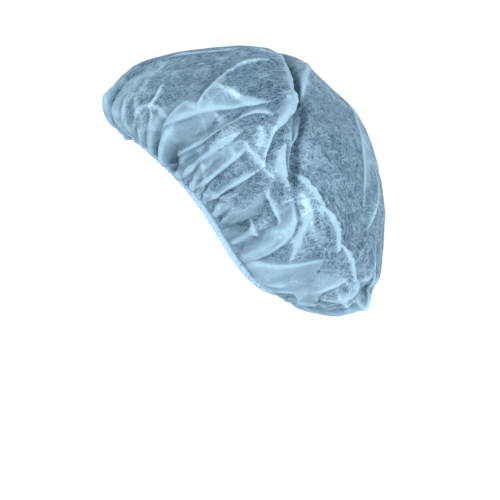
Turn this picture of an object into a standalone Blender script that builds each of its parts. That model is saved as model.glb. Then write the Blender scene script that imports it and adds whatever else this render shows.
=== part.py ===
"""A disposable bouffant cap as it is worn: a round nonwoven cloth that puffs up from a gathered hem,
with a flat elastic ring inside the hem. Metres. The wearer looks along -Y, +Z is up, and the origin is
the middle of the elastic loop, where the cap sits on the head."""

import math

import bmesh
import bpy
import numpy as np

# The opening: the loop that the elastic makes round the head, from the forehead to the nape.
# A station is an angle round the loop, 0 at the forehead and half a turn at the nape.
OPENING_TILT = math.radians(41)
OPENING_HALF_LENGTH = 0.101
OPENING_HALF_WIDTH = 0.077
EAR_DIP = 0.026
EAR_STATION = math.radians(126)
OPENING_SQUARENESS = 2.4
FOREHEAD_LEAN = math.radians(58)
NAPE_LEAN = math.radians(14)

# The crown: the puff of cloth over the opening
CROWN_REACH = 0.150
CROWN_HALF_WIDTH = 0.108
CROWN_DEPTH = 0.144
PLAN_SQUARENESS = 2.25
DIP_REACHES = 0.45

# The cloth, its gathers and its main folds. The gathers and folds rise and end at shares of the way from
# the hem to the middle of the round cloth.
CLOTH_WALL = 0.0012
GATHERS = 26
GATHER_HEIGHT = 0.0036
GATHERS_FULL_AT = 0.10
GATHERS_GONE_AT = 0.52
HEM_RIPPLE = 0.0007
FOLD_HEIGHT = 0.010
FOLD_HALF_WIDTH = 0.011
FOLDS_FULL_AT = 0.12
POINTS_A_FOLD = 40
FAR_SIDE_SHIFT = -0.06
FAR_SIDE_HEIGHT = 0.7

# The elastic and the channel round it
ELASTIC_WIDTH = 0.0040
ELASTIC_THICKNESS = 0.0008
CLEARANCE = 0.0004
HEM_NECK = 0.0025

# How finely the faces follow the cloth, and how many triangles the crown keeps on each of its two sides
FACES_A_GATHER = 4
STATIONS = GATHERS * FACES_A_GATHER
CROWN_STATIONS = 2 * STATIONS
CROWN_ROWS = 60
CROWN_TRIANGLES = 4300

# Meridians of the puff. cloth: share of the way from the hem to the middle of the round cloth.
# Reaches are shares of CROWN_REACH or, at the side, of CROWN_HALF_WIDTH; heights of CROWN_DEPTH.
SECTION_COLUMNS = (
    "cloth", "front_reach", "front_height", "side_reach", "side_height", "back_reach", "back_height",
)
SECTIONS = (
    (0.07, 0.80, -0.04, 0.80, 0.02, 0.77, -0.07),
    (0.14, 0.91, 0.01, 0.90, 0.09, 0.90, -0.03),
    (0.22, 0.95, 0.14, 0.97, 0.19, 0.98, 0.08),
    (0.32, 0.93, 0.32, 1.00, 0.34, 0.99, 0.26),
    (0.44, 0.82, 0.52, 0.96, 0.54, 0.87, 0.47),
    (0.56, 0.68, 0.69, 0.85, 0.71, 0.73, 0.65),
    (0.70, 0.50, 0.87, 0.64, 0.87, 0.54, 0.82),
    (0.85, 0.26, 1.01, 0.33, 0.98, 0.29, 0.97),
    (1.00, 0.00, 1.00, 0.00, 1.00, 0.00, 1.00),
)

# The main folds as seen from the side. Each is a curve through three places, given as shares of the
# puff's length from its front and of its height from its foot. height is a share of FOLD_HEIGHT, below
# zero for a valley, and width a share of FOLD_HALF_WIDTH.
FOLD_COLUMNS = ("name", "start", "bend", "end", "height", "width")
FOLDS = (
    ("crown_valley", (0.65, 0.98), (0.67, 0.75), (0.68, 0.42), -1.2, 0.8),
    ("ridge_before_valley", (0.61, 0.92), (0.65, 0.76), (0.63, 0.48), 0.7, 0.9),
    ("ridge_behind_valley", (0.72, 0.90), (0.71, 0.77), (0.71, 0.58), 0.6, 0.9),
    ("brow_roll", (0.32, 0.74), (0.44, 0.86), (0.60, 0.91), 0.5, 1.0),
    ("front_pleat", (0.20, 0.62), (0.33, 0.71), (0.52, 0.74), 0.7, 0.8),
    ("front_slot", (0.28, 0.61), (0.39, 0.67), (0.50, 0.73), -0.6, 0.7),
    ("temple_pleat", (0.26, 0.55), (0.38, 0.62), (0.53, 0.69), 0.6, 0.7),
    ("cheek_pleat", (0.31, 0.44), (0.44, 0.52), (0.54, 0.62), 0.7, 1.1),
    ("ear_pleat", (0.48, 0.26), (0.60, 0.29), (0.67, 0.43), 0.7, 0.9),
    ("lobe_edge", (0.68, 0.50), (0.78, 0.36), (0.84, 0.17), 0.9, 0.8),
    ("behind_lobe", (0.72, 0.52), (0.82, 0.38), (0.88, 0.20), -0.8, 0.8),
    ("lower_roll", (0.51, 0.19), (0.68, 0.14), (0.83, 0.14), 0.7, 1.1),
    ("bag_crease", (0.94, 0.46), (0.91, 0.32), (0.88, 0.20), -0.6, 0.8),
    ("bag_roll", (0.95, 0.30), (0.93, 0.18), (0.85, 0.06), 0.5, 1.0),
)

# What makes the gathers uneven round the loop, as waves: how many times round, where each starts, and
# its size, as a share of the gathers' height or, for the drift, as an angle along the row of gathers.
WAVE_COLUMNS = ("times_round", "start", "size")
GATHER_SWELLS = ((3, 1.0, 0.20), (7, 0.0, 0.25))
GATHER_DRIFTS = ((4, 0.5, 1.2),)
EVEN_GATHER = 0.7

# Colours and finishes
CLOTH_BLUE = (0.36, 0.62, 0.78, 1)
HEM_BLUE = (0.40, 0.66, 0.82, 1)
ELASTIC_WHITE = (0.82, 0.87, 0.90, 1)
CLOTH_ROUGHNESS = 0.85
ELASTIC_ROUGHNESS = 0.6

# Directions of the loop: out of the crown, back along the opening, and across it
CROWN_AXIS = np.array([0, math.sin(OPENING_TILT), math.cos(OPENING_TILT)])
BACKWARD = np.array([0, math.cos(OPENING_TILT), -math.sin(OPENING_TILT)])
ACROSS = np.array([1.0, 0, 0])


def eased(share):
    """0 to 1 with soft ends."""
    share = np.clip(share, 0, 1)
    return share * share * (3 - 2 * share)


def unit(vectors):
    return vectors / np.linalg.norm(vectors, axis=-1, keepdims=True)


def placed(back, across, up):
    """Points from their distances along the loop's three directions."""
    shares = ((back, BACKWARD), (across, ACROSS), (up, CROWN_AXIS))
    return sum(np.multiply.outer(distance, direction) for distance, direction in shares)


def squared(stations, squareness):
    """How much further out a squared oval reaches than a plain one: 1 at its front, sides and back."""
    sides = np.abs(np.cos(stations)) ** squareness + np.abs(np.sin(stations)) ** squareness
    return sides ** (-1 / squareness)


def meridian_shares(stations):
    """How much of the front, side and back meridians each station holds."""
    front = np.maximum(0, np.cos(stations)) ** 2
    back = np.maximum(0, -np.cos(stations)) ** 2
    return front, 1 - front - back, back


def ear_dip(stations):
    """How far the loop dips below its plane: not at all at the forehead and nape, most at the ears."""
    lowest = math.cos(EAR_STATION)
    forehead, nape = 1 - np.cos(stations), 1 + np.cos(stations)
    steepness = (1 - lowest) / (1 + lowest)
    return EAR_DIP * (forehead / (1 - lowest)) ** steepness * nape / (1 + lowest)


def loop(stations):
    """The middle of the elastic."""
    reach = squared(stations, OPENING_SQUARENESS)
    return placed(
        -OPENING_HALF_LENGTH * reach * np.cos(stations),
        OPENING_HALF_WIDTH * reach * np.sin(stations),
        -ear_dip(stations),
    )


def hem_directions(stations):
    """The hem's downward and outward directions: it lies against the head, leaning out over the brow."""
    step = 0.01
    along = unit(loop(stations + step) - loop(stations - step))
    front, side, back = meridian_shares(stations)
    down = placed(
        front * math.sin(FOREHEAD_LEAN) + back * math.sin(NAPE_LEAN),
        0 * stations,
        -front * math.cos(FOREHEAD_LEAN) - side - back * math.cos(NAPE_LEAN),
    )
    down = unit(down - (down * along).sum(-1, keepdims=True) * along)
    return down, np.cross(down, along)


def crown_edge(stations):
    """Where the crown's outer face meets the hem, and a little higher, where it leaves the hem."""
    down, outward = hem_directions(stations)
    edge = loop(stations) - down * (ELASTIC_WIDTH / 2 + 2 * CLEARANCE)
    edge = edge + outward * (ELASTIC_THICKNESS / 2 + CLEARANCE + CLOTH_WALL)
    return edge, edge + (outward - down) * HEM_NECK


def meridians(stations):
    """The cloth shares where the puff is known, and the place of each station's meridian there."""
    front, side, back = meridian_shares(stations)
    cosine, sine = np.cos(stations), np.sin(stations)
    knots, places = [0, HEM_NECK / CROWN_REACH], list(crown_edge(stations))
    for numbers in SECTIONS:
        row = dict(zip(SECTION_COLUMNS, numbers))
        height = front * row["front_height"] + side * row["side_height"] + back * row["back_height"]
        follows = max(0, 1 - row["cloth"] / DIP_REACHES) ** 2
        spread = squared(stations, 2 + (PLAN_SQUARENESS - 2) * max(0, 1 - row["cloth"] ** 2))
        lengthways = np.where(cosine > 0, row["front_reach"], row["back_reach"])
        knots.append(row["cloth"])
        places.append(
            placed(
                -CROWN_REACH * lengthways * cosine * spread,
                CROWN_HALF_WIDTH * row["side_reach"] * sine * spread,
                CROWN_DEPTH * height - ear_dip(stations) * follows,
            )
        )
    return np.array(knots), np.array(places)


def smooth_puff(stations, cloths):
    """The puff without its gathers and folds: a grid of points, a row for each cloth share."""
    knots, places = meridians(stations)
    slopes = np.gradient(places, knots, axis=0)
    slopes[-1] -= np.multiply.outer(slopes[-1] @ CROWN_AXIS, CROWN_AXIS)
    rows = []
    for cloth in cloths:
        i = min(int(np.searchsorted(knots, cloth, side="right")) - 1, len(knots) - 2)
        gap = knots[i + 1] - knots[i]
        s = (cloth - knots[i]) / gap
        rise = places[i + 1] - places[i]
        bow = (1 - s) * slopes[i] - s * slopes[i + 1]
        rows.append(places[i] + s * s * (3 - 2 * s) * rise + gap * s * (1 - s) * bow)
    return np.array(rows)


def outward_normals(puff):
    around = np.roll(puff, -1, axis=1) - np.roll(puff, 1, axis=1)
    normals = np.cross(around, np.gradient(puff, axis=0))
    normals[-1] = CROWN_AXIS
    return unit(normals)


def fold_lines(puff):
    """Each main fold as a line of points on the puff, on the near side and again on the far one."""
    low, high = puff[..., 1:].min((0, 1)), puff[..., 1:].max((0, 1))
    near = puff[puff[..., 0] >= 0]
    for numbers in FOLDS:
        row = dict(zip(FOLD_COLUMNS, numbers))
        start, bend, end = (np.array(row[place]) for place in ("start", "bend", "end"))
        pull = 2 * bend - (start + end) / 2
        for side, shift, share in ((1, 0, 1), (-1, FAR_SIDE_SHIFT, FAR_SIDE_HEIGHT)):
            points = []
            for s in np.linspace(0, 1, POINTS_A_FOLD):
                seen = start * (1 - s) ** 2 + 2 * pull * s * (1 - s) + end * s * s
                seen = low + (high - low) * (seen + (shift, 0))
                nearest = near[np.argmin(((near[:, 1:] - seen) ** 2).sum(1))]
                points.append((side * nearest[0], nearest[1], nearest[2]))
            yield np.array(points), share * row["height"] * FOLD_HEIGHT, row["width"] * FOLD_HALF_WIDTH


def fold_heights(puff):
    """How far the main folds lift the cloth, or sink it. A fold dies away towards both its ends."""
    heights = np.zeros(puff.shape[:2])
    for points, height, half_width in fold_lines(puff):
        fold = np.zeros(heights.shape)
        for number, point in enumerate(points):
            full = math.sin(math.pi * (number + 0.5) / len(points)) ** 0.5
            gaps = np.linalg.norm(puff - point, axis=-1)
            fold = np.maximum(fold, full * np.exp(-((gaps / half_width) ** 2)))
        heights += height * fold
    return heights


def waves(stations, table):
    """The sum of a table's waves round the loop."""
    rows = [dict(zip(WAVE_COLUMNS, numbers)) for numbers in table]
    return sum(row["size"] * np.sin(row["times_round"] * stations + row["start"]) for row in rows)


def gather_heights(stations, cloths):
    """The gathers: small at the elastic, largest a little above it, gone by the middle of the puff."""
    fading = (cloths - GATHERS_FULL_AT) / (GATHERS_GONE_AT - GATHERS_FULL_AT)
    swelling = eased(cloths / GATHERS_FULL_AT) * (1 - eased(fading))
    size = EVEN_GATHER + waves(stations, GATHER_SWELLS)
    ripples = size * np.cos(GATHERS * stations + waves(stations, GATHER_DRIFTS))
    return GATHER_HEIGHT * np.multiply.outer(swelling, ripples)


def folded_cloth(stations, cloths):
    puff = smooth_puff(stations, cloths)
    lift = gather_heights(stations, cloths) + eased(cloths / FOLDS_FULL_AT)[:, None] * fold_heights(puff)
    return puff + outward_normals(puff) * lift[..., None]


def material(name, colour, roughness):
    made = bpy.data.materials.new(name)
    made.use_nodes = True
    shader = made.node_tree.nodes["Principled BSDF"]
    shader.inputs["Base Color"].default_value = colour
    shader.inputs["Roughness"].default_value = roughness
    shader.inputs["Metallic"].default_value = 0
    return made


def finish(obj, name, finish_material, home):
    """Names an object, gives it its material and puts it in the cap's collection."""
    obj.name = name
    obj.data.name = name
    obj.data.materials.append(finish_material)
    for collection in list(obj.users_collection):
        collection.objects.unlink(obj)
    home.objects.link(obj)
    obj.data.shade_smooth()


def crown(home, cloth_material):
    """The round cloth: the upper half of a sphere's net, each vertex moved to its place in the puff."""
    bpy.ops.mesh.primitive_uv_sphere_add(segments=CROWN_STATIONS, ring_count=2 * CROWN_ROWS, radius=1)
    obj = bpy.context.object
    mesh = bmesh.new()
    mesh.from_mesh(obj.data)
    row_angle = math.pi / 2 / CROWN_ROWS
    below = [v for v in mesh.verts if v.co.z < math.sin(-row_angle / 2)]
    bmesh.ops.delete(mesh, geom=below, context="VERTS")
    stations = math.tau * np.arange(CROWN_STATIONS) / CROWN_STATIONS
    cloth = folded_cloth(stations, np.linspace(0, 1, CROWN_ROWS + 1))
    for vertex in mesh.verts:
        row = round(math.asin(min(1, max(0, vertex.co.z))) / row_angle)
        column = round(math.atan2(vertex.co.x, -vertex.co.y) / math.tau * CROWN_STATIONS)
        vertex.co = cloth[row, column % CROWN_STATIONS]
    mesh.to_mesh(obj.data)
    mesh.free()
    thinned = obj.modifiers.new("fewer faces", "DECIMATE")
    thinned.ratio = CROWN_TRIANGLES / (2 * CROWN_STATIONS * CROWN_ROWS)
    wall = obj.modifiers.new("cloth wall", "SOLIDIFY")
    wall.thickness = CLOTH_WALL
    wall.offset = -1
    wall.use_even_offset = True
    finish(obj, "crown", cloth_material, home)


def ring(name, section, ring_material, home):
    """A closed band round the loop. section gives its corners at each station as (down, outward) places,
    in the torus's own order, up its outer side and down its inner one, so that the faces point out."""
    stations = math.tau * np.arange(STATIONS) / STATIONS
    down, outward = hem_directions(stations)
    corners = [
        loop(stations) + down * np.reshape(below, (-1, 1)) + outward * np.reshape(out, (-1, 1))
        for below, out in section(stations)
    ]
    bpy.ops.mesh.primitive_torus_add(
        major_segments=STATIONS, minor_segments=len(corners), major_radius=1, minor_radius=0.1
    )
    obj = bpy.context.object
    mesh = bmesh.new()
    mesh.from_mesh(obj.data)
    for vertex in mesh.verts:
        vertex.co = corners[vertex.index % len(corners)][vertex.index // len(corners)]
    mesh.to_mesh(obj.data)
    mesh.free()
    finish(obj, name, ring_material, home)


def elastic_section(stations):
    down, out = ELASTIC_WIDTH / 2, ELASTIC_THICKNESS / 2
    return (down, out), (-down, out), (-down, -out), (down, -out)


def hem_section(stations):
    """A channel round the elastic, open towards the crown, with the gathers rippling its outer faces."""
    ripple = HEM_RIPPLE * (0.5 + 0.5 * np.cos(GATHERS * stations))
    floor = ELASTIC_WIDTH / 2 + CLEARANCE
    slot = ELASTIC_THICKNESS / 2 + CLEARANCE
    foot = floor + CLOTH_WALL + ripple
    leaf = slot + CLOTH_WALL
    return (
        (foot, leaf + ripple), (-floor, leaf), (-floor, slot), (floor, slot),
        (floor, -slot), (-floor, -slot), (-floor, -leaf), (foot, -leaf),
    )


def build():
    for old in list(bpy.data.objects):
        bpy.data.objects.remove(old)
    home = bpy.data.collections.new("bouffant cap")
    bpy.context.scene.collection.children.link(home)
    crown(home, material("cloth blue", CLOTH_BLUE, CLOTH_ROUGHNESS))
    hem_material = material("hem blue", HEM_BLUE, CLOTH_ROUGHNESS)
    ring("hem_casing", hem_section, hem_material, home)
    elastic_material = material("elastic white", ELASTIC_WHITE, ELASTIC_ROUGHNESS)
    ring("elastic_band", elastic_section, elastic_material, home)


build()
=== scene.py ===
import math

import bpy
import numpy as np
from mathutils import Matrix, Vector, noise


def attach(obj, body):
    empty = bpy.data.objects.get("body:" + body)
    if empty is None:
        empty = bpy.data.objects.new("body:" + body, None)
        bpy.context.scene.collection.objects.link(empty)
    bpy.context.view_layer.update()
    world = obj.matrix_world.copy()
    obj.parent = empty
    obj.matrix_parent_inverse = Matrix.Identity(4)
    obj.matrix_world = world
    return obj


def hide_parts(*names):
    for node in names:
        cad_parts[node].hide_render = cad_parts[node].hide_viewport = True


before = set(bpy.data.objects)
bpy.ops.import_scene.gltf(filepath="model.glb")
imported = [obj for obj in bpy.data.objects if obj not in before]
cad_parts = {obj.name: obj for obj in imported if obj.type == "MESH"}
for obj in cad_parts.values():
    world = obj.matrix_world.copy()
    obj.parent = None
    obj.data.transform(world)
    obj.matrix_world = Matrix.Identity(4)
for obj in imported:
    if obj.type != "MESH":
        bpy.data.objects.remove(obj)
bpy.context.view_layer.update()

# Elastic band
# A flat covered elastic, about 4 mm wide, sewn into a ring. It lies loose in the channel of the hem and
# holds the cap on: its loop is high at the front, dips at the sides and is low at the back.
LOOP_TILT = math.radians(41)
LOOP_HALF_LENGTH = 0.101
LOOP_HALF_WIDTH = 0.077
LOOP_SQUARENESS = 2.4
SIDE_DIP = 0.026
DIP_STATION = math.radians(126)
FRONT_LEAN = math.radians(58)
BACK_LEAN = math.radians(14)
ELASTIC_WIDTH = 0.0036
ELASTIC_THICKNESS = 0.0007
ELASTIC_STEPS = 720
ELASTIC_SIDES = 12
RUBBER_THREADS = 3
THREAD_RISE = 0.12
ELASTIC_CRIMPS = 180
ELASTIC_CRIMP_DEPTH = 0.00018
ELASTIC_RIBS = 150
ELASTIC_WHITE = (0.86, 0.90, 0.93, 1)
ELASTIC_GREY = (0.70, 0.78, 0.84, 1)
ELASTIC_UNROLLED = (0.597, 0.009)
# One unit of every UV map, in metres: the width of the crown's round cloth.
UV_METRES = 0.533

# Directions of the loop: back along the opening, across it, and out of the crown. A station is an angle
# round the loop, 0 at the front and half a turn at the back.
BACKWARD = np.array([0, math.cos(LOOP_TILT), -math.sin(LOOP_TILT)])
ACROSS = np.array([1.0, 0, 0])
CROWN_AXIS = np.array([0, math.sin(LOOP_TILT), math.cos(LOOP_TILT)])
STATION_STEP = 0.01
SEAM_GAP = 0.00001


def unit(vectors):
    """The same directions, each 1 long."""
    return vectors / np.maximum(np.linalg.norm(vectors, axis=-1, keepdims=True), 1e-12)


def placed(back, across, up):
    """Points from their distances along the loop's three directions."""
    shares = ((back, BACKWARD), (across, ACROSS), (up, CROWN_AXIS))
    return sum(np.multiply.outer(distance, direction) for distance, direction in shares)


def squared(stations, squareness):
    """How much further out a squared oval reaches than a plain one."""
    sides = np.abs(np.cos(stations)) ** squareness + np.abs(np.sin(stations)) ** squareness
    return sides ** (-1 / squareness)


def side_dip(stations):
    """How far the loop dips below its plane, most at DIP_STATION on both sides."""
    lowest = math.cos(DIP_STATION)
    steepness = (1 - lowest) / (1 + lowest)
    from_front, from_back = (1 - np.cos(stations)) / (1 - lowest), (1 + np.cos(stations)) / (1 + lowest)
    return SIDE_DIP * from_front**steepness * from_back


def loop(stations):
    """The middle of the elastic."""
    reach = squared(stations, LOOP_SQUARENESS)
    back = -LOOP_HALF_LENGTH * reach * np.cos(stations)
    return placed(back, LOOP_HALF_WIDTH * reach * np.sin(stations), -side_dip(stations))


def meridian_shares(stations):
    """How much of the front, the side and the back each station holds."""
    front, back = np.maximum(0, np.cos(stations)) ** 2, np.maximum(0, -np.cos(stations)) ** 2
    return front, 1 - front - back, back


def hem_directions(stations):
    """Down along the hem and out of it: it hangs straight at the sides and leans at the front and back."""
    along = unit(loop(stations + STATION_STEP) - loop(stations - STATION_STEP))
    front, side, back = meridian_shares(stations)
    lean_back = front * math.sin(FRONT_LEAN) + back * math.sin(BACK_LEAN)
    lean_up = -front * math.cos(FRONT_LEAN) - side - back * math.cos(BACK_LEAN)
    down = placed(lean_back, 0 * stations, lean_up)
    down = unit(down - (down * along).sum(-1, keepdims=True) * along)
    return down, np.cross(down, along)


def ring_on_loop(name, steps, sides, unrolled, section):
    """A grid rolled into a tube round the loop. section gives each point's place, down and outward.
    unrolled is the length and the width of the surface laid flat, in metres, for its UV map."""
    bpy.ops.object.select_all(action="DESELECT")
    bpy.ops.mesh.primitive_grid_add(x_subdivisions=steps, y_subdivisions=sides, size=2)
    piece = bpy.context.object
    piece.name = piece.data.name = name
    corners = np.array([v.co[:] for v in piece.data.vertices])
    stations, turns = (corners[:, 0] + 1) * math.pi, (corners[:, 1] + 1) * math.pi
    below, out = section(stations, turns)
    down, outward = hem_directions(stations)
    points = loop(stations) + down * below[:, None] + outward * out[:, None]
    piece.data.vertices.foreach_set("co", points.astype(np.float32).ravel())
    piece.data.update()
    flat_map = piece.data.uv_layers.active
    flat_map.name = "cut"
    places = np.zeros(2 * len(flat_map.data), np.float32)
    flat_map.data.foreach_get("uv", places)
    places = places.reshape(-1, 2) * (np.array(unrolled) / UV_METRES)
    flat_map.data.foreach_set("uv", places.astype(np.float32).ravel())
    bpy.ops.object.mode_set(mode="EDIT")
    bpy.ops.mesh.select_all(action="SELECT")
    bpy.ops.mesh.remove_doubles(threshold=SEAM_GAP)
    bpy.ops.object.mode_set(mode="OBJECT")
    bpy.ops.object.shade_smooth()
    return piece


def elastic_section(stations, turns):
    """A flat band whose faces rise a little over each of its rubber threads."""
    flat = np.sign(np.cos(turns)) * np.abs(np.cos(turns)) ** 0.35
    across = np.sign(np.sin(turns)) * np.abs(np.sin(turns)) ** 0.8
    threads = 1 + THREAD_RISE * np.cos(across * RUBBER_THREADS * math.pi)
    crimp = ELASTIC_CRIMP_DEPTH * np.sin(stations * ELASTIC_CRIMPS + 2 * np.sin(stations * 7))
    return -across * ELASTIC_WIDTH / 2, flat * threads * ELASTIC_THICKNESS / 2 + crimp


def new_material(name, roughness):
    """A material with its node tree and its Principled shader."""
    made = bpy.data.materials.new(name)
    made.use_nodes = True
    shader = made.node_tree.nodes["Principled BSDF"]
    shader.inputs["Roughness"].default_value = roughness
    return made, made.node_tree, shader


def set_inputs(tree, node, inputs):
    """Sets each input, which is named or numbered, to its value, or links it to the socket given for it."""
    for name, value in inputs.items():
        if isinstance(value, bpy.types.NodeSocket):
            tree.links.new(value, node.inputs[name])
        else:
            node.inputs[name].default_value = value


def new_node(tree, kind, inputs, **settings):
    """A node of the tree, with its settings and its inputs."""
    node = tree.nodes.new("ShaderNode" + kind)
    for name, value in settings.items():
        setattr(node, name, value)
    set_inputs(tree, node, inputs)
    return node


elastic = ring_on_loop("elastic", ELASTIC_STEPS, ELASTIC_SIDES, ELASTIC_UNROLLED, elastic_section)
covered_elastic, tree, shader = new_material("covered elastic", 0.55)
cut = new_node(tree, "UVMap", {}, uv_map="cut").outputs["UV"]
inputs = {"Vector": cut, "Scale": ELASTIC_RIBS, "Distortion": 0.6, "Detail": 2}
ribs = new_node(tree, "TexWave", inputs).outputs["Fac"]
raised = new_node(tree, "Bump", {"Height": ribs, "Strength": 0.5, "Distance": 0.0003}).outputs["Normal"]
inputs = {"Factor": ribs, "A": ELASTIC_GREY, "B": ELASTIC_WHITE}
colour = new_node(tree, "Mix", inputs, data_type="RGBA").outputs["Result"]
set_inputs(tree, shader, {"Base Color": colour, "Normal": raised, "Sheen Weight": 0.3})
elastic.data.materials.append(covered_elastic)
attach(elastic, "root")
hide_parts("elastic_band")

# Hem casing
# The edge of the round cloth, folded over the elastic and welded to itself in a row of small dots. The
# elastic draws it up to a third of its length, so it is crimped all round and its foot is scalloped.
HEM_HALF_HEIGHT = 0.0028
HEM_HALF_THICKNESS = 0.0013
HEM_CRIMPS = 172
HEM_CRIMP_DEPTH = 0.00075
HEM_SCALLOP = 0.0006
HEM_STEPS = 1376
HEM_SIDES = 16
HEM_UNROLLED = (1.67, 0.016)
HEM_DEEP_BLUE = (0.10, 0.20, 0.28, 1)
HEM_PALE_BLUE = (0.40, 0.555, 0.655, 1)
HEM_DENSITY = 0.42
HEM_BOND_PITCH = 3.4
# How the hem's cloth lies, in the three values that its material reads. Its painted highlight and painted
# relief light are even all round, so they only make it paler and stop a little more light.
HEM_LIE = {"bunching": 1.1, "crease_and_highlight": 0.35, "relief_light_and_shade": 0.3}

# The web: random curly fibres, each set of them a noise drawn out along one direction and cut to the thin
# lines where it passes its middle value. Sizes are in millimetres on the flat cut.
CUT_MM = 1000 * UV_METRES
FIBRE_COLUMNS = ("turn", "length", "width", "thin", "weight")
FIBRES = (
    (0.3, 15.0, 4.0, 0.060, 1.0),
    (1.35, 14.0, 4.2, 0.060, 1.0),
    (2.4, 15.0, 3.8, 0.060, 0.9),
    (0.9, 11.0, 3.2, 0.055, 0.8),
    (2.0, 7.0, 2.4, 0.05, 0.5),
    (2.9, 6.0, 2.2, 0.05, 0.5),
)
FIBRE_COVER = 0.30
FIBRE_TONE = 0.43
FIBRE_RISE = 0.0004
# Clouds of thicker and thinner web, in lumps across the round cloth
CLOUDS = (46, 46)
# Creases in the web itself, as on crumpled paper: the size of a cell and the width of a line in millimetres,
# the lumps of the noise that bends them and how far it does, and the lumps of the patches that have them
CREASE_CELL = 31.0
CREASE_LINE = 0.6
CREASE_WAVES = (34, 34)
CREASE_BEND = (0.045, -0.035, 0)
CREASED_PATCHES = (9, 9)
# The edge of a pressed point, from its middle, as a share of the pitch
BOND_EDGE = (0.2, 0.3)
# From this bunching on, the cloth lies double.
LAID_DOUBLE = 0.42
# The tone of the cloth and the light that it stops, from the depths of the folds to what stands out most:
# painted shade in the depths and a painted highlight on what stands out
PAINTED_RELIEF_TONE = (-0.27, 0.23)
PAINTED_RELIEF_COVER = (0.22, 0)
# What makes the cloth stop more light, and what makes it paler
THICKENING_COLUMNS = ("cause", "cover", "tone")
THICKENING = (
    ("bunching", 0.20, 0.26),
    # Creases are denser, and paler partly from that and partly as a painted highlight
    ("crease_and_highlight", 0.40, 0.74),
    ("double", 0.22, 0.38),
    ("border", 0.10, 0.14),
    ("bonded", 0.05, 0.02),
)
# The most light that the web stops and its palest tone, both without the drawn fibres, and the most light
# that it stops with them and in the deepest folds, which are closed as painted shade
WEB_COVER = 0.78
WEB_TONE = 0.82
FULL_COVER = 0.97
DEPTH_SHADE_COVER = 0.95
# What is left of white light that passes between the fibres of one layer
PASSED_LIGHT = (0.59, 0.78, 0.90, 1)
SHEEN_BLUE = (0.55, 0.78, 0.92, 1)
# The share of the light on a fibre that goes through it
GLOW = 0.28


def hem_section(stations, turns):
    """A flat tube, thin where the weld closes it at its top, with crimps that differ front and back."""
    below = -np.sin(turns) * HEM_HALF_HEIGHT
    drift = 2.2 * np.sin(5 * stations + 1) + 1.7 * np.sin(9 * stations) + 1.1 * np.sin(17 * stations + 2)
    crimp = np.cos(HEM_CRIMPS * stations + drift + 0.5 * np.cos(turns) + 0.25 * np.sin(2 * turns))
    uneven = 0.55 + 0.3 * np.sin(31 * stations + drift) + 0.25 * np.sin(47 * stations + 2)
    face = np.cos(turns) * np.abs(np.cos(turns)) ** -0.45
    closed = 1 - 0.75 * np.clip(np.sin(turns) * 1.6 - 0.6, 0, 1)
    flattened = face * HEM_HALF_THICKNESS * closed
    out = flattened + HEM_CRIMP_DEPTH * crimp * uneven * (0.55 + 0.45 * np.cos(turns))
    scallop = HEM_SCALLOP * crimp * uneven * (1 - np.sin(turns)) / 2
    return below + scallop, out


def joined(tree, operation, first, second):
    """The result of a Math node on two sockets or numbers."""
    return new_node(tree, "Math", {0: first, 1: second}, operation=operation).outputs["Value"]


def added(tree, value, more, weight):
    """A value with a share of another one on top."""
    return joined(tree, "ADD", value, joined(tree, "MULTIPLY", more, weight))


def ranged(tree, value, low, high, to_low, to_high):
    """The result of a clamped Map Range node."""
    limits = {"From Min": low, "From Max": high, "To Min": to_low, "To Max": to_high}
    return new_node(tree, "MapRange", {"Value": value, **limits}).outputs["Result"]


def noise_on(tree, cut, lumps, turn=0, detail=0, distortion=0):
    """A flat noise. lumps is how many there are on the round cloth's width, along the noise and across it."""
    turned = new_node(tree, "Mapping", {"Vector": cut, "Rotation": (0, 0, turn)})
    drawn_out = new_node(tree, "Mapping", {"Vector": turned.outputs["Vector"], "Scale": (*lumps, 1)})
    inputs = {"Vector": drawn_out.outputs["Vector"], "Scale": 1, "Detail": detail, "Distortion": distortion}
    return new_node(tree, "TexNoise", inputs, noise_dimensions="2D").outputs["Fac"]


def fibres_on(tree, cut):
    """The fibres: their weight along each of them, and 0 between them."""
    web = None
    for numbers in FIBRES:
        row = dict(zip(FIBRE_COLUMNS, numbers))
        lumps = (CUT_MM / row["length"], CUT_MM / row["width"])
        drawn = noise_on(tree, cut, lumps, row["turn"], detail=1, distortion=0.5)
        off = joined(tree, "ABSOLUTE", joined(tree, "SUBTRACT", drawn, 0.5), 0)
        line = ranged(tree, off, 0, row["thin"], row["weight"], 0)
        web = line if web is None else joined(tree, "MAXIMUM", web, line)
    return web


def creases_on(tree, cut):
    """Bent, sharp lines in the web, strongest in some patches of it and missing from the others."""
    waves = noise_on(tree, cut, CREASE_WAVES, detail=2)
    bent = new_node(tree, "VectorMath", {0: waves, 1: CREASE_BEND, 2: cut}, operation="MULTIPLY_ADD")
    inputs = {"Vector": bent.outputs["Vector"], "Scale": CUT_MM / CREASE_CELL}
    cells = new_node(tree, "TexVoronoi", inputs, voronoi_dimensions="2D", feature="DISTANCE_TO_EDGE")
    lines = ranged(tree, cells.outputs["Distance"], 0, CREASE_LINE / CREASE_CELL, 1, 0)
    crushed = ranged(tree, noise_on(tree, cut, CREASED_PATCHES, detail=1), 0.46, 0.66, 0, 0.5)
    return joined(tree, "MULTIPLY", lines, crushed)


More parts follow.
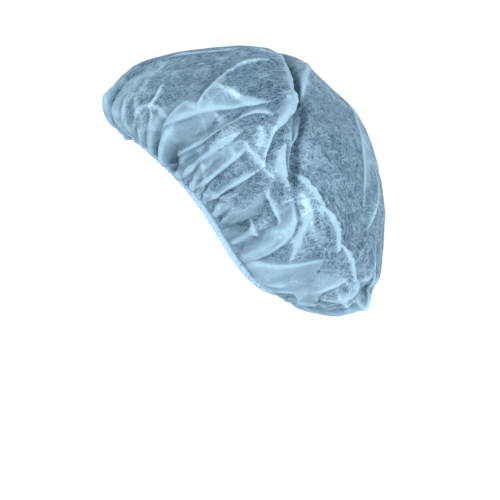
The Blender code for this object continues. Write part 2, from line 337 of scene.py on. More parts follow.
def nonwoven_material(name, density, deep_and_shade, pale, bond_pitch):
    """Translucent spunbond web. density is how much of the light one plain layer stops, and bond_pitch is how
    far apart the pressed points are that hold the fibres, in millimetres on the flat cut. It reads three
    values from each vertex. bunching: how much more cloth lies together there. crease_and_highlight: how
    sharp a ridge is, which the material shows as denser fibre and partly as a painted highlight.
    relief_light_and_shade: how far the cloth stands out of what is round it, below zero in the depths of the
    folds and in the slots beside their edges; the material paints shade where it is low and light where it is
    high."""
    made, tree, shader = new_material(name, 0.6)
    cut = new_node(tree, "UVMap", {}, uv_map="cut").outputs["UV"]
    laid = {}
    for value in ("bunching", "crease_and_highlight", "relief_light_and_shade"):
        laid[value] = new_node(tree, "Attribute", {}, attribute_name=value).outputs["Fac"]
    web, creases = fibres_on(tree, cut), creases_on(tree, cut)
    # The web's own crease lines count as creases: denser fibre, and partly a painted highlight
    laid["crease_and_highlight"] = joined(tree, "MAXIMUM", laid["crease_and_highlight"], creases)
    inputs = {"Vector": cut, "Scale": CUT_MM / bond_pitch, "Randomness": 0.08}
    bonds = new_node(tree, "TexVoronoi", inputs, voronoi_dimensions="2D")
    laid["bonded"] = ranged(tree, bonds.outputs["Distance"], *BOND_EDGE, 1, 0)

    # Double cloth has a sharp, uneven border, and a bright fold along it.
    clouds = noise_on(tree, cut, CLOUDS, detail=3)
    uneven = ranged(tree, clouds, 0.3, 0.7, -0.07, 0.07)
    past = joined(tree, "SUBTRACT", joined(tree, "ADD", laid["bunching"], uneven), LAID_DOUBLE)
    laid["double"] = ranged(tree, past, -0.02, 0.03, 0, 1)
    laid["border"] = ranged(tree, joined(tree, "ABSOLUTE", past, 0), 0, 0.05, 1, 0)

    # cover: how much of the light the cloth stops. tone: 0 for its deep colour, which also serves as painted
    # shade, and 1 for its pale one.
    cover = ranged(tree, clouds, 0.35, 0.65, density - 0.05, density + 0.05)
    cover = joined(tree, "ADD", cover, ranged(tree, laid["relief_light_and_shade"], -1, 1, *PAINTED_RELIEF_COVER))
    tone = ranged(tree, laid["relief_light_and_shade"], -1, 1, *PAINTED_RELIEF_TONE)
    for numbers in THICKENING:
        row = dict(zip(THICKENING_COLUMNS, numbers))
        cover = added(tree, cover, laid[row["cause"]], row["cover"])
        tone = added(tree, tone, laid[row["cause"]], row["tone"])
    # The fibres show on single cloth, and hardly where it lies thick. The depths of the folds are closed, as
    # painted shade.
    single = ranged(tree, joined(tree, "ADD", laid["bunching"], laid["double"]), 0, 1.2, 1, 0.15)
    shown = joined(tree, "MULTIPLY", web, single)
    cover = added(tree, ranged(tree, cover, 0, WEB_COVER, 0, WEB_COVER), shown, FIBRE_COVER)
    cover = joined(tree, "MAXIMUM", cover, ranged(tree, laid["relief_light_and_shade"], -1, 0, DEPTH_SHADE_COVER, 0))
    cover = ranged(tree, cover, 0, FULL_COVER, 0, FULL_COVER)
    tone = added(tree, ranged(tree, tone, 0, 1, 0, WEB_TONE), shown, FIBRE_TONE)
    tone = ranged(tree, tone, 0, 1.2, 0, 1)
    colour = new_node(tree, "Mix", {"Factor": tone, "A": deep_and_shade, "B": pale}, data_type="RGBA").outputs["Result"]

    height = added(tree, added(tree, web, creases, 1.5), laid["bonded"], -0.8)
    inputs = {"Height": height, "Strength": 0.6, "Distance": FIBRE_RISE}
    raised = new_node(tree, "Bump", inputs).outputs["Normal"]
    set_inputs(tree, shader, {"Base Color": colour, "Normal": raised, "Specular IOR Level": 0.25})
    set_inputs(tree, shader, {"Sheen Weight": 0.35, "Sheen Roughness": 0.22, "Sheen Tint": SHEEN_BLUE})
    through = new_node(tree, "BsdfTranslucent", {"Color": colour, "Normal": raised}).outputs["BSDF"]
    inputs = {"Fac": GLOW, 1: shader.outputs["BSDF"], 2: through}
    fibres = new_node(tree, "MixShader", inputs).outputs["Shader"]
    between = new_node(tree, "BsdfTransparent", {"Color": PASSED_LIGHT}).outputs["BSDF"]
    veil = new_node(tree, "MixShader", {"Fac": cover, 1: between, 2: fibres}).outputs["Shader"]
    set_inputs(tree, tree.nodes["Material Output"], {"Surface": veil})
    return made


def keep_value(piece, name, values):
    """Values for the vertices of a piece, which its material reads."""
    piece.data.attributes.new(name, "FLOAT", "POINT").data.foreach_set("value", values.astype(np.float32))


hem = ring_on_loop("hem", HEM_STEPS, HEM_SIDES, HEM_UNROLLED, hem_section)
for name, value in HEM_LIE.items():
    keep_value(hem, name, np.full(len(hem.data.vertices), value))
hem.data.materials.append(
    nonwoven_material("folded nonwoven", HEM_DENSITY, HEM_DEEP_BLUE, HEM_PALE_BLUE, HEM_BOND_PITCH)
)
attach(hem, "root")
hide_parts("hem_casing")

# Crown cloth
# One round of light blue spunbond nonwoven, 21 inches across and about 0.15 mm thick. Its edge is
# gathered three to one on the elastic, so it stands up from the hem in pleats and a full puff.
CLOTH_RADIUS = 0.2665
CLOTH_SQUARES = 156
CROWN_REACH = 0.150
CROWN_HALF_WIDTH = 0.108
CROWN_DEPTH = 0.144
PLAN_SQUARENESS = 2.25
DIP_REACHES = 0.45
HEM_NECK = 0.0025
HEM_TOP = 0.0028
CROWN_DENSITY = 0.57
CROWN_BOND_PITCH = 1.9
# A plain layer is deep blue between its fibres, partly its own colour and partly painted shade, and the same
# deep blue is painted shade in the depths of the folds. Fibres, folds and gathers are pale.
DEEP_BLUE_AND_SHADE = (0.008, 0.038, 0.076, 1)
PALE_BLUE = (0.358, 0.540, 0.665, 1)

# Meridians of the puff. cloth: share of the way from the hem to the middle of the round cloth.
# Reaches are shares of CROWN_REACH or, at the side, of CROWN_HALF_WIDTH; heights of CROWN_DEPTH.
SECTION_COLUMNS = (
    "cloth", "front_reach", "front_height", "side_reach", "side_height", "back_reach", "back_height",
)
SECTIONS = (
    (0.07, 0.80, -0.04, 0.80, 0.02, 0.77, -0.07),
    (0.14, 0.91, 0.01, 0.90, 0.09, 0.90, -0.03),
    (0.22, 0.95, 0.14, 0.97, 0.19, 0.98, 0.08),
    (0.32, 0.93, 0.32, 1.00, 0.34, 0.99, 0.26),
    (0.44, 0.82, 0.52, 0.96, 0.54, 0.87, 0.47),
    (0.56, 0.68, 0.69, 0.85, 0.71, 0.73, 0.65),
    (0.70, 0.50, 0.87, 0.64, 0.87, 0.54, 0.82),
    (0.85, 0.26, 1.01, 0.33, 0.98, 0.29, 0.97),
    (1.00, 0.00, 1.00, 0.00, 1.00, 0.00, 1.00),
)

# Gathers round the hem, finest first: how many there are, the share of the way up where they have faded,
# and their height. Each set runs into the coarser one above it.
GATHER_COLUMNS = ("count", "fades", "height")
GATHERS = ((96, 0.12, 0.0026), (54, 0.20, 0.0038), (30, 0.34, 0.0040), (17, 0.50, 0.0030))
FINE_GATHERS = ((190, 0.07, 0.0007), (118, 0.13, 0.0008))
GATHERS_SEED = 3
FINE_GATHERS_SEED = 8
GATHERS_SINK = 0.55
# The share of their height that the gathers lose at the front and the back, where they are less deep
ENDS_FLATTEN = 0.5
# The share of the broad gathers that is laid over them once more, as sharp pleats
SHARP_PLEATS = 0.3
# Low at the back of each side the cloth rolls under in one smooth fold, which hides the gathers.
ROLL_STATION = math.radians(124)
ROLL_SPREAD = math.radians(24)
ROLL_SMOOTHS = 0.75

# Main folds, seen from the cap's left, as (y, z) places in millimetres. height, width and lean are in
# millimetres too, and a valley has a height below zero. A fold with edge 1 ends sharply on the right of its
# own direction, with edge -1 on the left, and there it leans over what lies beside it. layers is how much
# more cloth lies together there.
FOLD_COLUMNS = ("name", "start", "bend", "end", "height", "width", "lean", "edge", "layers")
FOLDS = (
    ("crown valley, upper", (57, 142), (61, 117), (67, 90), -12, 5, 0, 0, 0.2),
    ("crown valley, middle", (66, 97), (67, 75), (63, 53), -12, 5, 0, 0, 0.3),
    ("crown valley, lower", (63, 58), (62, 40), (66, 18), -9, 4.5, 0, 0, 0.2),
    ("lobe over the bag, top", (45, 138), (52, 112), (57, 84), 4, 22, 5, -1, 0.0),
    ("lobe over the bag, middle", (58, 96), (55, 62), (60, 28), 4, 22, 5, -1, 0.1),
    ("lobe over the bag, foot", (64, 30), (86, 6), (103, -36), 4, 24, 4, -1, 0.1),
    ("front lip of the valley", (47, 128), (55, 104), (57, 86), 4, 8, 4, -1, 0.6),
    ("lip turning forward", (58, 94), (55, 80), (42, 62), 6, 8, 4, -1, 0.8),
    ("lip running down", (46, 67), (39, 53), (37, 36), 4, 6, 3, -1, 0.5),
    ("back lip of the valley", (77, 127), (72, 108), (69, 85), 5, 3, 0, 0, 0.6),
    ("back lip, lower", (69, 90), (66, 67), (59, 48), 5, 7, 4, -1, 0.6),
    ("light lobe over the valley", (52, 53), (51, 34), (59, 18), 5, 8, 4, -1, 0.7),
    ("top rim band", (-91, 98), (-46, 126), (38, 135), 1, 15, 0.5, 1, 0.62),
    ("top ridge", (15, 135), (33, 131), (53, 123), 4, 5, 0, 0, 0.3),
    ("upper front ridge", (-72, 114), (-46, 125), (-14, 135), 3, 6, 0, 0, 0.3),
    ("puff ridge, front", (-17, 81), (-3, 100), (10, 114), 4.5, 9, 2, -1, 0.6),
    ("puff ridge, back", (7, 111), (22, 119), (41, 122), 5, 7, 2, 1, 0.4),
    ("thin crease across", (-3, 101), (14, 93), (32, 86), 3, 2.2, 0, 0, 0.5),
    ("front pleat", (-56, 54), (-36, 73), (-5, 82), 3.4, 12, 3, 1, 0.9),
    ("front pleat, back", (-13, 81), (15, 85), (43, 86), 3.4, 9, 3, 1, 0.8),
    ("front slot", (-36, 50), (-13, 61), (26, 81), -6, 3.5, 0, 0, 0.0),
    ("second pleat", (-38, 43), (-13, 57), (21, 77), 4.5, 10, 4, 1, 0.9),
    ("second pleat end", (15, 73), (29, 79), (43, 76), 3.5, 8, 3, 1, 0.7),
    ("second slot", (-34, 32), (-21, 42), (-3, 50), -5, 3, 0, 0, 0.0),
    ("third pleat", (-35, 24), (-14, 41), (19, 63), 6, 7, 4, 1, 0.7),
    ("third slot", (-17, 21), (-7, 33), (7, 45), -5, 3, 0, 0, 0.0),
    ("lower pleat", (-21, 17), (0, 33), (27, 52), 4.5, 15, 4, 1, 1.0),
    ("ridge below", (-10, 6), (15, 22), (37, 34), 5, 8, 3, 1, 0.5),
    ("side crease", (22, 54), (32, 41), (46, 25), 4, 3, 0, 0, 0.5),
    ("short side ridge", (33, 68), (35, 57), (31, 46), 4, 3, 0, 0, 0.5),
    ("star, up", (-57, 86), (-51, 95), (-46, 106), 2.2, 1.3, 0, 0, 0.5),
    ("star, back", (-57, 86), (-50, 84), (-42, 76), 2.2, 1.3, 0, 0, 0.5),
    ("star, front", (-56, 87), (-64, 86), (-71, 80), 2.2, 1.3, 0, 0, 0.5),
    ("star, down", (-56, 86), (-55, 78), (-57, 67), 1.9, 1.3, 0, 0, 0.4),
    ("front crease", (-75, 101), (-80, 89), (-81, 76), 2.6, 2, 0, 0, 0.6),
    ("front crease, lower", (-82, 79), (-76, 69), (-65, 59), 2.4, 2, 0, 0, 0.5),
    ("front roll", (-90, 108), (-95, 94), (-93, 76), 3, 5, 0, 0, 0.4),
    ("crease to the pleat", (-45, 68), (-36, 79), (-26, 89), 2.6, 1.8, 0, 0, 0.5),
    ("crease past the pleat", (-28, 88), (-21, 85), (-13, 81), 2.4, 1.8, 0, 0, 0.4),
    ("low fold, front", (39, 15), (47, 1), (52, -13), 2, 5, 2, 1, 0.6),
    ("low fold, back", (61, 8), (57, -24), (21, -43), 1.6, 13, 1.5, -1, 1.0),
    ("low arc", (-6, -13), (15, -17), (29, -7), -3, 2.5, 0, 0, 0.0),
    ("low crease", (26, -10), (29, -16), (33, -23), 2.6, 1.8, 0, 0, 0.4),
    ("lobe edge, upper", (62, 29), (74, 18), (86, -3), 3.5, 3.5, 3, -1, 0.8),
    ("lobe edge, middle", (83, 2), (96, -16), (100, -36), 3.5, 3.5, 3, -1, 0.8),
    ("lobe edge, lower", (98, -29), (110, -40), (114, -62), 3.5, 3.5, 3, -1, 0.8),
    ("lobe edge, foot", (115, -56), (109, -70), (85, -74), 5, 7, 4, -1, 0.6),
    ("lobe strip", (76, 0), (69, -19), (60, -45), 4, 3.5, 0, 0, 0.7),
    ("lobe strip, back", (68, 16), (72, 1), (81, -26), 3, 3, 0, 0, 0.4),
    ("lower roll", (13, -38), (46, -46), (92, -42), 2.5, 17, 1.5, -1, 1.1),
    ("roll over the hem", (13, -34), (24, -52), (58, -62), 5, 12, 6, 1, 1.1),
    ("foot roll", (20, -56), (62, -67), (108, -58), 4, 15, 3, 1, 1.1),
    ("bag crease", (121, -14), (121, -29), (113, -45), -3, 3, 0, 0, 0.1),
    ("bag rim band", (96, 108), (120, 70), (122, 0), 0.8, 20, 0.6, 1, 0.8),
    ("bag ridge", (135, 23), (131, 4), (125, -17), 4, 6, 3, -1, 0.4),
    ("bag foot ridge", (98, -66), (105, -75), (112, -86), 3, 3, 0, 0, 0.4),
    ("bag foot notch", (141, -67), (131, -69), (119, -68), -5, 4, 0, 0, 0.0),
    ("bag foot corner", (136, -84), (125, -81), (112, -75), 4, 4, 0, 0, 0.5),
    ("bag foot roll", (133, -45), (129, -70), (115, -84), 4, 7, 3, 1, 0.5),
)
POINTS_A_FOLD = 48
FOLD_SMOOTHINGS = 6
# The far side has the same folds, this much further forward.
FAR_SIDE_SHIFT = -0.010
# The shares of the folds' height that they are given before the simulation and after it. Before it they are
# wider too.
BEFORE_SETTLING = 0.5
AFTER_SETTLING = 0.75
WIDER_BEFORE = 1.6
# The cloth shares up to which the folds grow out of the hem, in those two steps
GROWN_BEFORE = 0.12
GROWN_AFTER = 0.10
# Profile of a fold: how pointed a ridge is and how round a valley, and how short the sharp side of an edge
RIDGE_POWER = 1.05
VALLEY_POWER = 1.5
SHARP_SIDE = 0.22
SHARP_REACH = 0.0004
# The painted shadow in the slot beside a fold's edge, the painted highlight along it, the share of layers
# that gives both in full, and the width in millimetres up to which a fold without an edge has such a
# highlight
SLOT_SHADOW_PLACE = 0.0026
SLOT_SHADOW_WIDTH = 0.0019
HIGHLIGHT_WIDTH = 0.0013
SHADOW_AND_HIGHLIGHT_LAYERS = 1.4
HIGHLIGHT_FOLD = 2.2
# Crumples: the sizes of the large and small facets, how far their edges stand out, the width of their thin
# lines and broad slopes as shares of a facet, and the size of the patches that they lie in
LARGE_FACET = 0.036
SMALL_FACET = 0.021
SMALL_WEIGHT = 0.7
FACET_RISE = 0.0014
THIN_LINE = 0.085
BROAD_SLOPE = 0.20
CRUMPLED_PATCH = 0.07
# How far round a point its relief is measured, in steps of the mesh, and the height that counts in full
SHARP_RELIEF = (1, 0.0005)
NEAR_RELIEF = (3, 0.0010)
WIDE_RELIEF = (9, 0.0045)

# The simulation: how firmly the cloth keeps to the worn shape, away from the folds and on them, and how far
# a fold has to move the cloth to count in full
KEPT_LOOSE = 0.06
KEPT_ON_FOLDS = 0.3
FULL_FOLD = 0.003
HELD_EDGE = 0.004
SETTLING_FRAMES = 30


def eased(share):
    """0 to 1 with soft ends."""
    share = np.clip(share, 0, 1)
    return share * share * (3 - 2 * share)


def meridians(stations):
    """The cloth shares where the puff is known, and the place of each station's meridian there."""
    front, side, back = meridian_shares(stations)
    cosine, sine = np.cos(stations), np.sin(stations)
    down, outward = hem_directions(stations)
    edge = loop(stations) - down * HEM_TOP + outward * ELASTIC_THICKNESS
    knots, places = [0, HEM_NECK / CROWN_REACH], [edge, edge + (outward - down) * HEM_NECK]
    for numbers in SECTIONS:
        row = dict(zip(SECTION_COLUMNS, numbers))
        height = front * row["front_height"] + side * row["side_height"] + back * row["back_height"]
        follows = max(0, 1 - row["cloth"] / DIP_REACHES) ** 2
        spread = squared(stations, 2 + (PLAN_SQUARENESS - 2) * max(0, 1 - row["cloth"] ** 2))
        lengthways = np.where(cosine > 0, row["front_reach"], row["back_reach"])
        knots.append(row["cloth"])
        places.append(
            placed(
                -CROWN_REACH * lengthways * cosine * spread,
                CROWN_HALF_WIDTH * row["side_reach"] * sine * spread,
                CROWN_DEPTH * height - side_dip(stations) * follows,
            )
        )
    return np.array(knots), np.array(places)


def worn_shape(stations, cloths):
    """The smooth puff at each station and cloth share."""
    knots, places = meridians(stations)
    slopes = np.gradient(places, knots, axis=0)
    slopes[-1] -= np.multiply.outer(slopes[-1] @ CROWN_AXIS, CROWN_AXIS)
    i = np.clip(np.searchsorted(knots, cloths, side="right") - 1, 0, len(knots) - 2)
    gap = (knots[i + 1] - knots[i])[:, None]
    s = (cloths[:, None] - knots[i][:, None]) / gap
    n = np.arange(len(stations))
    rise = places[i + 1, n] - places[i, n]
    bow = (1 - s) * slopes[i, n] - s * slopes[i + 1, n]
    return places[i, n] + s * s * (3 - 2 * s) * rise + gap * s * (1 - s) * bow


def fold_curves(puff):
    """Each main fold as points on the puff with its row, on the near side and, shifted, on the far one."""
    near = puff[puff[:, 0] >= 0]
    for numbers in FOLDS:
        row = dict(zip(FOLD_COLUMNS, numbers))
        start, bend, end = (np.array(row[part]) / 1000 for part in ("start", "bend", "end"))
        pull = 2 * bend - (start + end) / 2
        for side, shift in ((1, 0), (-1, FAR_SIDE_SHIFT)):
            points = []
            for s in np.linspace(0, 1, POINTS_A_FOLD):
                seen = start * (1 - s) ** 2 + 2 * pull * s * (1 - s) + end * s * s + (shift, 0)
                nearest = near[np.argmin(((near[:, 1:] - seen) ** 2).sum(1))]
                points.append((side * nearest[0], nearest[1], nearest[2]))
            points = np.array(points)
            for _ in range(FOLD_SMOOTHINGS):
                points[1:-1] = (points[:-2] + 2 * points[1:-1] + points[2:]) / 4
            yield points, side, row


def fold_profile(offset, row, width):
    """1 on the line of a fold, falling softly away from it, and sharply on the side of its edge."""
    power = np.where(row["height"] > 0, RIDGE_POWER, VALLEY_POWER)
    soft = np.exp(-((np.abs(offset) / width) ** power))
    sharp = np.exp(-((np.abs(offset) / (SHARP_SIDE * width + SHARP_REACH)) ** 2))
    return np.where(offset * row["edge"] > 0, sharp, soft)


def folded(puff, normals, share, wider):
    """How far the main folds move each point of the cloth, the layers of cloth that they add there, the
    painted shadows in the slots beside them and the painted highlights along them. share is of their height,
    wider of their width, and widened folds have no sharp edges."""
    moves = np.zeros(puff.shape)
    layers, slot_shadows, lines = np.zeros(len(puff)), np.zeros(len(puff)), np.zeros(len(puff))
    for points, side, row in fold_curves(puff):
        width = row["width"] / 1000 * wider
        low, high = points.min(0) - 3 * width, points.max(0) + 3 * width
        close = np.flatnonzero(((puff > low) & (puff < high)).all(1))
        if not len(close):
            continue
        gaps = puff[close, None] - points[None]
        nearest = (gaps**2).sum(2).argmin(1)
        gap = gaps[np.arange(len(close)), nearest]
        runs = unit(np.gradient(points, axis=0))[nearest]
        over = unit(np.cross(runs, normals[close])) * side
        inner = (nearest > 0) & (nearest < len(points) - 1)
        along = (gap * runs).sum(1) * inner
        distance = np.sqrt(np.maximum((gap**2).sum(1) - along**2, 0))
        offset = distance * np.where((gap * over).sum(1) > 0, 1, -1)
        if wider > 1:
            row = {**row, "edge": 0}
        full = np.sin(math.pi * (nearest + 0.5) / len(points)) ** 0.5
        crest = full * fold_profile(offset, row, width)
        leaning = over * (row["edge"] * row["lean"] * crest**2)[:, None]
        moves[close] += share / 1000 * (normals[close] * (row["height"] * crest)[:, None] + leaning)
        layers[close] = np.maximum(layers[close], row["layers"] * crest)
        strength = full * min(1, row["layers"] * SHADOW_AND_HIGHLIGHT_LAYERS)
        # Painted shadow in a slot beside an edge or along a whole valley, and a painted highlight along an
        # edge or a narrow ridge
        if row["edge"]:
            beside = strength * np.exp(-(((offset * row["edge"] - SLOT_SHADOW_PLACE) / SLOT_SHADOW_WIDTH) ** 2))
            line = strength * np.exp(-((offset / HIGHLIGHT_WIDTH) ** 2))
        else:
            beside = crest * (row["height"] < 0)
            line = crest * (row["height"] > 0) * min(1, (HIGHLIGHT_FOLD / row["width"]) ** 2)
        slot_shadows[close] = np.maximum(slot_shadows[close], beside)
        lines[close] = np.maximum(lines[close], line)
    return moves, layers, slot_shadows, lines


def gathered(stations, cloths, table, seed, sharp):
    """The height of the gathers, and how near each point is to one of their crests. They are waves that are
    finest at the hem, and uneven in size and spacing."""
    random = np.random.default_rng(seed)
    height, crests = np.zeros(len(stations)), np.zeros(len(stations))
    front, side, back = meridian_shares(stations)
    for numbers in table:
        row = dict(zip(GATHER_COLUMNS, numbers))
        starts = random.uniform(0, math.tau, 6)
        drift = 1.6 * np.sin(5 * stations + starts[0]) + 1.1 * np.sin(8 * stations + starts[1])
        drift = drift + 0.9 * np.sin(13 * stations + 9 * cloths + starts[2])
        size = 0.7 + 0.35 * np.sin(7 * stations + starts[3]) + 0.25 * np.sin(11 * stations + starts[4])
        fading = np.exp(-((cloths / row["fades"]) ** 2)) * eased(cloths / row["fades"] / 0.4)
        turn = row["count"] * stations + drift + starts[5]
        wave = 1 - 2 * np.abs(np.sin(turn / 2)) if sharp else np.cos(turn) - GATHERS_SINK
        height += row["height"] * size * fading * wave
        crests = np.maximum(crests, np.clip(size, 0, 1) * fading * (0.5 + 0.5 * np.cos(turn)))
    turned = np.abs((stations + math.pi) % math.tau - math.pi)
    rolled = np.exp(-(((turned - ROLL_STATION) / ROLL_SPREAD) ** 2)) * eased(cloths / 0.05)
    kept = (1 - ENDS_FLATTEN * front - ENDS_FLATTEN * back) * (1 - ROLL_SMOOTHS * rolled)
    return height * kept, crests * (1 - ROLL_SMOOTHS * rolled)


def crumpled(flat, cell, seed):
    """Two values that are 1 along the sharp lines of a crumple and fall towards the middle of its cells: a
    thin one for the lines themselves, and a broad one for the slopes of the facets."""
    shift = Vector((seed * 3.7, seed * 1.3, seed))
    lines = np.zeros(len(flat))
    for number, place in enumerate(flat):
        distances = noise.voronoi(Vector(place) / cell + shift)[0]
        lines[number] = distances[1] - distances[0]
    return np.exp(-lines / THIN_LINE), np.exp(-lines / BROAD_SLOPE)


def cut_places(x, y):
    """A square grid drawn onto the round cloth: its stations, its cloth shares and its places on the cut."""
    ring = np.maximum(np.abs(x), np.abs(y))
    wide = np.abs(x) >= np.abs(y)
    quarter = np.where(wide, y / np.where(x == 0, 1, x), x / np.where(y == 0, 1, y)) * (math.pi / 4)
    sideways = quarter + np.where(x < 0, math.pi, 0)
    lengthways = math.pi / 2 - quarter + np.where(y < 0, math.pi, 0)
    stations = np.where(wide, sideways, lengthways) + math.pi / 2
    flat = np.stack([ring * np.sin(stations), -ring * np.cos(stations), 0 * ring], 1) * CLOTH_RADIUS
    return stations, 1 - ring, flat


def blurred(grid, reach):
    """A grid of values, each averaged over a square reach steps to each side."""
    for axis in (0, 1):
        padding = [(reach + 1, reach) if axis == number else (0, 0) for number in range(grid.ndim)]
        total = np.cumsum(np.pad(grid, padding, mode="edge"), axis=axis)
        count = grid.shape[axis]
        window = 2 * reach + 1
        high = np.take(total, range(window, window + count), axis=axis)
        grid = (high - np.take(total, range(count), axis=axis)) / window
    return grid


# The cloth starts as a square grid, drawn onto the puff with wide, soft folds and gathers.
bpy.ops.object.select_all(action="DESELECT")
bpy.ops.mesh.primitive_grid_add(x_subdivisions=CLOTH_SQUARES, y_subdivisions=CLOTH_SQUARES, size=2)
crown = bpy.context.object
crown.name = crown.data.name = "crown_cloth"
corners = np.array([v.co[:] for v in crown.data.vertices])
stations, cloths, flat = cut_places(corners[:, 0], corners[:, 1])

puff = worn_shape(stations, cloths)
step = 0.004
around = worn_shape(stations + step, cloths) - worn_shape(stations - step, cloths)
higher, lower = np.clip(cloths + step, 0, 1), np.clip(cloths - step, 0, 1)
normals = np.cross(around, worn_shape(stations, higher) - worn_shape(stations, lower))
normals[cloths > 0.97] = CROWN_AXIS
normals = unit(normals)
moves = folded(puff, normals, BEFORE_SETTLING, WIDER_BEFORE)[0]
waves = gathered(stations, cloths, GATHERS, GATHERS_SEED, False)[0]
start = puff + moves * eased(cloths / GROWN_BEFORE)[:, None] + normals * waves[:, None]
closeness = np.clip(np.linalg.norm(moves, axis=1) / FULL_FOLD, 0, 1)

# It then settles between that shape and its flat cut, held fast along the hem.
crown.shape_key_add(name="worn")
crown.shape_key_add(name="cut")
shapes = crown.data.shape_keys.key_blocks
shapes["worn"].data.foreach_set("co", start.astype(np.float32).ravel())
shapes["cut"].data.foreach_set("co", flat.astype(np.float32).ravel())
crown.data.vertices.foreach_set("co", start.astype(np.float32).ravel())
crown.data.update()
held = crown.vertex_groups.new(name="held")
for index, (share, close) in enumerate(zip(cloths, closeness)):
    firmness = 1 if share < HELD_EDGE else KEPT_LOOSE + (KEPT_ON_FOLDS - KEPT_LOOSE) * close
    held.add([index], firmness, "REPLACE")
settling = crown.modifiers.new("settling", "CLOTH")
settings = settling.settings
settings.quality = 6
settings.mass = 0.1
settings.tension_stiffness = settings.compression_stiffness = 60
settings.shear_stiffness = 20
settings.bending_stiffness = 0.2
settings.tension_damping = settings.compression_damping = settings.shear_damping = 10
settings.bending_damping = 0.5
settings.air_damping = 3
settings.vertex_group_mass = "held"
settings.rest_shape_key = shapes["cut"]
settings.effector_weights.gravity = 0
settling.collision_settings.use_collision = False
settling.point_cache.frame_start, settling.point_cache.frame_end = 1, SETTLING_FRAMES
for number in range(1, SETTLING_FRAMES + 1):
    bpy.context.scene.frame_set(number)
graph = bpy.context.evaluated_depsgraph_get()
settled = bpy.data.meshes.new_from_object(crown.evaluated_get(graph))
crown.modifiers.clear()
crown.data = settled
bpy.context.scene.frame_set(1)
crown.vertex_groups.clear()

# The UV map is the flat cut, so the fibres keep their size and run over the folds.
cut_map = crown.data.uv_layers.active
cut_map.name = "cut"
owners = np.zeros(len(crown.data.loops), np.int32)
crown.data.loops.foreach_get("vertex_index", owners)
cut_map.data.foreach_set("uv", (flat[owners, :2] / (2 * CLOTH_RADIUS) + 0.5).astype(np.float32).ravel())
square = crown.data.attributes.new("square", "FLOAT_VECTOR", "POINT")
square.data.foreach_set("vector", corners.astype(np.float32).ravel())
finer = crown.modifiers.new("finer", "SUBSURF")
finer.levels = finer.render_levels = 1
bpy.ops.object.select_all(action="DESELECT")
crown.select_set(True)
bpy.context.view_layer.objects.active = crown
bpy.ops.object.modifier_apply(modifier="finer")

# The sharp creases that the settling can't hold: the folds at each vertex's place on the smooth puff are
# added to where it has settled.
count = len(crown.data.vertices)
corners = np.zeros(3 * count, np.float32)
crown.data.attributes["square"].data.foreach_get("vector", corners)
corners = corners.reshape(-1, 3).astype(float)
stations, cloths, flat = cut_places(corners[:, 0], corners[:, 1])
puff = worn_shape(stations, cloths)
settled = np.array([v.co[:] for v in crown.data.vertices])
normals = np.array([n.vector[:] for n in crown.data.vertex_normals])
moves, layers, slot_shadows, edge_highlights = folded(puff, normals, AFTER_SETTLING, 1)
off_hem = eased(cloths / GROWN_AFTER)
patches = np.array([noise.noise(Vector(place) / CRUMPLED_PATCH) for place in flat])
patches = np.clip(0.5 + 1.5 * patches, 0, 1) * (1 - 0.4 * cloths) * off_hem
large_lines, large_slopes = crumpled(flat, LARGE_FACET, 1)
small_lines, small_slopes = crumpled(flat, SMALL_FACET, 2)
lines = large_lines * patches + SMALL_WEIGHT * small_lines * patches**2
slopes = large_slopes * patches + SMALL_WEIGHT * small_slopes * patches**2
fine, fine_crests = gathered(stations, cloths, FINE_GATHERS, FINE_GATHERS_SEED, True)
broad, broad_crests = gathered(stations, cloths, GATHERS, GATHERS_SEED, True)
fine += SHARP_PLEATS * broad
shape = settled + moves * off_hem[:, None] + normals * (FACET_RISE * slopes + fine)[:, None]
crown.data.vertices.foreach_set("co", shape.astype(np.float32).ravel())
crown.data.update()
bpy.ops.object.shade_smooth()

# How the cloth lies at each point, in the three values that its material reads, with painted highlights on
# its ridges and painted shade in its depths and slots
steps = 2 * CLOTH_SQUARES + 1
column, row_number = (np.rint((corners[:, axis] + 1) / 2 * (steps - 1)).astype(int) for axis in (0, 1))
laid = np.zeros((steps, steps, 3))
laid[column, row_number] = shape
normals = np.array([n.vector[:] for n in crown.data.vertex_normals])
sharp_relief, near_relief, wide_relief = (
    ((shape - blurred(laid, reach)[column, row_number]) * normals).sum(1) / full
    for reach, full in (SHARP_RELIEF, NEAR_RELIEF, WIDE_RELIEF)
)
# Paler creases: partly denser fibre on crumples, partly a painted highlight on sharp ridges and along the
# folds' edges
crease_and_highlight = np.clip(sharp_relief - 0.3, 0, 1) * 0.5 + 0.5 * lines + 0.95 * edge_highlights * off_hem
# Painted light and shade by relief: darker in the depths of the folds, paler where the cloth stands out
relief_light_and_shade = 0.6 * np.clip(near_relief, -1, 1) + 0.4 * np.clip(wide_relief, -1, 1)
# Painted shadow in the slots beside the folds' edges
relief_light_and_shade -= 1.6 * slot_shadows * off_hem
bunching = np.maximum(layers * off_hem, 0.85 * np.maximum(broad_crests, fine_crests))
bunching = np.clip(bunching + 0.45 * np.exp(-cloths / 0.12), 0, 1.2)
keep_value(crown, "bunching", bunching)
keep_value(crown, "crease_and_highlight", crease_and_highlight)
keep_value(crown, "relief_light_and_shade", relief_light_and_shade)

crown.data.materials.append(
    nonwoven_material("spunbond nonwoven", CROWN_DENSITY, DEEP_BLUE_AND_SHADE, PALE_BLUE, CROWN_BOND_PITCH)
)
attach(crown, "root")
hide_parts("crown")

# Stage
# A round pale floor of plain matt board, well below the cap. Its rim curves up all round, so that every view
# has the same plain background.
FLOOR_RADIUS = 4
FLOOR_DEPTH = 0.9
FLOOR_COLUMNS = ("widening", "rise")
FLOOR_RIM = ((1.15, 0.10), (1.11, 0.30), (1.05, 0.55), (1.01, 0.9), (1, 2.0))
FLOOR_GREY = (0.93, 0.93, 0.93, 1)

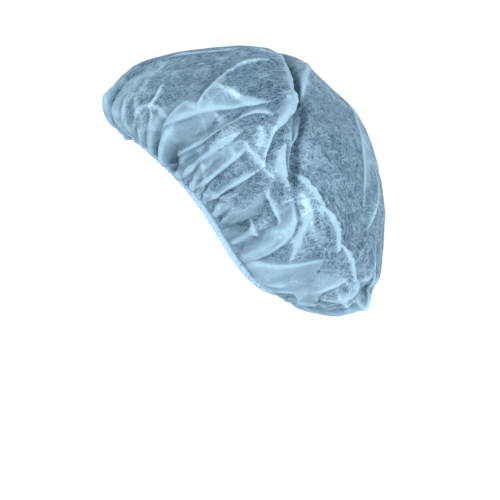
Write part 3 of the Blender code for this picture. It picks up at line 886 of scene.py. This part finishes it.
bpy.ops.object.select_all(action="DESELECT")
bpy.ops.mesh.primitive_circle_add(
    vertices=96, radius=FLOOR_RADIUS, fill_type="NGON", location=(0, 0, -FLOOR_DEPTH)
)
floor = bpy.context.object
floor.name = floor.data.name = "floor"
bpy.ops.object.mode_set(mode="EDIT")
bpy.ops.mesh.select_all(action="DESELECT")
bpy.ops.mesh.select_mode(type="EDGE")
bpy.ops.mesh.select_all(action="SELECT")
for numbers in FLOOR_RIM:
    row = dict(zip(FLOOR_COLUMNS, numbers))
    bpy.ops.mesh.extrude_edges_move(TRANSFORM_OT_translate={"value": (0, 0, row["rise"])})
    bpy.ops.transform.resize(value=(row["widening"], row["widening"], 1), center_override=(0, 0, 0))
bpy.ops.object.mode_set(mode="OBJECT")
bpy.ops.object.transform_apply(location=True, rotation=False, scale=True)
bpy.ops.object.shade_smooth()
pale_floor, tree, shader = new_material("pale floor", 0.9)
set_inputs(tree, shader, {"Base Color": FLOOR_GREY})
floor.data.materials.append(pale_floor)

# Light
# A white surround and three soft square lamps on the camera's side of the cap: the brightest before it and
# above, one below, and one behind it.
SURROUND_WHITE = (1, 1, 1, 1)
LAMP_COLUMNS = ("name", "place", "size", "watts")
LAMPS = (
    ("key", (1.5, -1.3, 1.1), 0.6, 62),
    ("fill", (1.5, 0.5, -0.8), 1.0, 50),
    ("back", (0.7, 1.9, 0.1), 1.2, 36),
)
AIM = Vector((0, 0.027, 0.03))

world = bpy.data.worlds.new("studio")
bpy.context.scene.world = world
world.use_nodes = True
world.node_tree.nodes["Background"].inputs["Color"].default_value = SURROUND_WHITE
world.node_tree.nodes["Background"].inputs["Strength"].default_value = 1.0
for numbers in LAMPS:
    row = dict(zip(LAMP_COLUMNS, numbers))
    bpy.ops.object.light_add(type="AREA", location=row["place"])
    lamp = bpy.context.object
    lamp.name = row["name"]
    lamp.data.energy, lamp.data.size = row["watts"], row["size"]
    lamp.rotation_euler = (AIM - lamp.location).to_track_quat("-Z", "Y").to_euler()

# Camera
# Level with the cap and square to its left side, far enough away for the photograph's flat perspective.
# VIEW_WIDTH is what the picture spans at the cap, and VIEW_MIDDLE is its middle in y and z.
SENSOR_WIDTH = 36
VIEW_DISTANCE = 2.0
VIEW_WIDTH = 0.440
VIEW_MIDDLE = (0.0269, -0.0347)
bpy.ops.object.camera_add(location=(VIEW_DISTANCE, *VIEW_MIDDLE), rotation=(math.pi / 2, 0, math.pi / 2))
camera = bpy.context.object
camera.data.sensor_width = SENSOR_WIDTH
camera.data.lens = SENSOR_WIDTH * VIEW_DISTANCE / VIEW_WIDTH
bpy.context.scene.camera = camera
bpy.context.scene.view_settings.view_transform = "Standard"
bpy.context.scene.cycles.transparent_max_bounces = 24
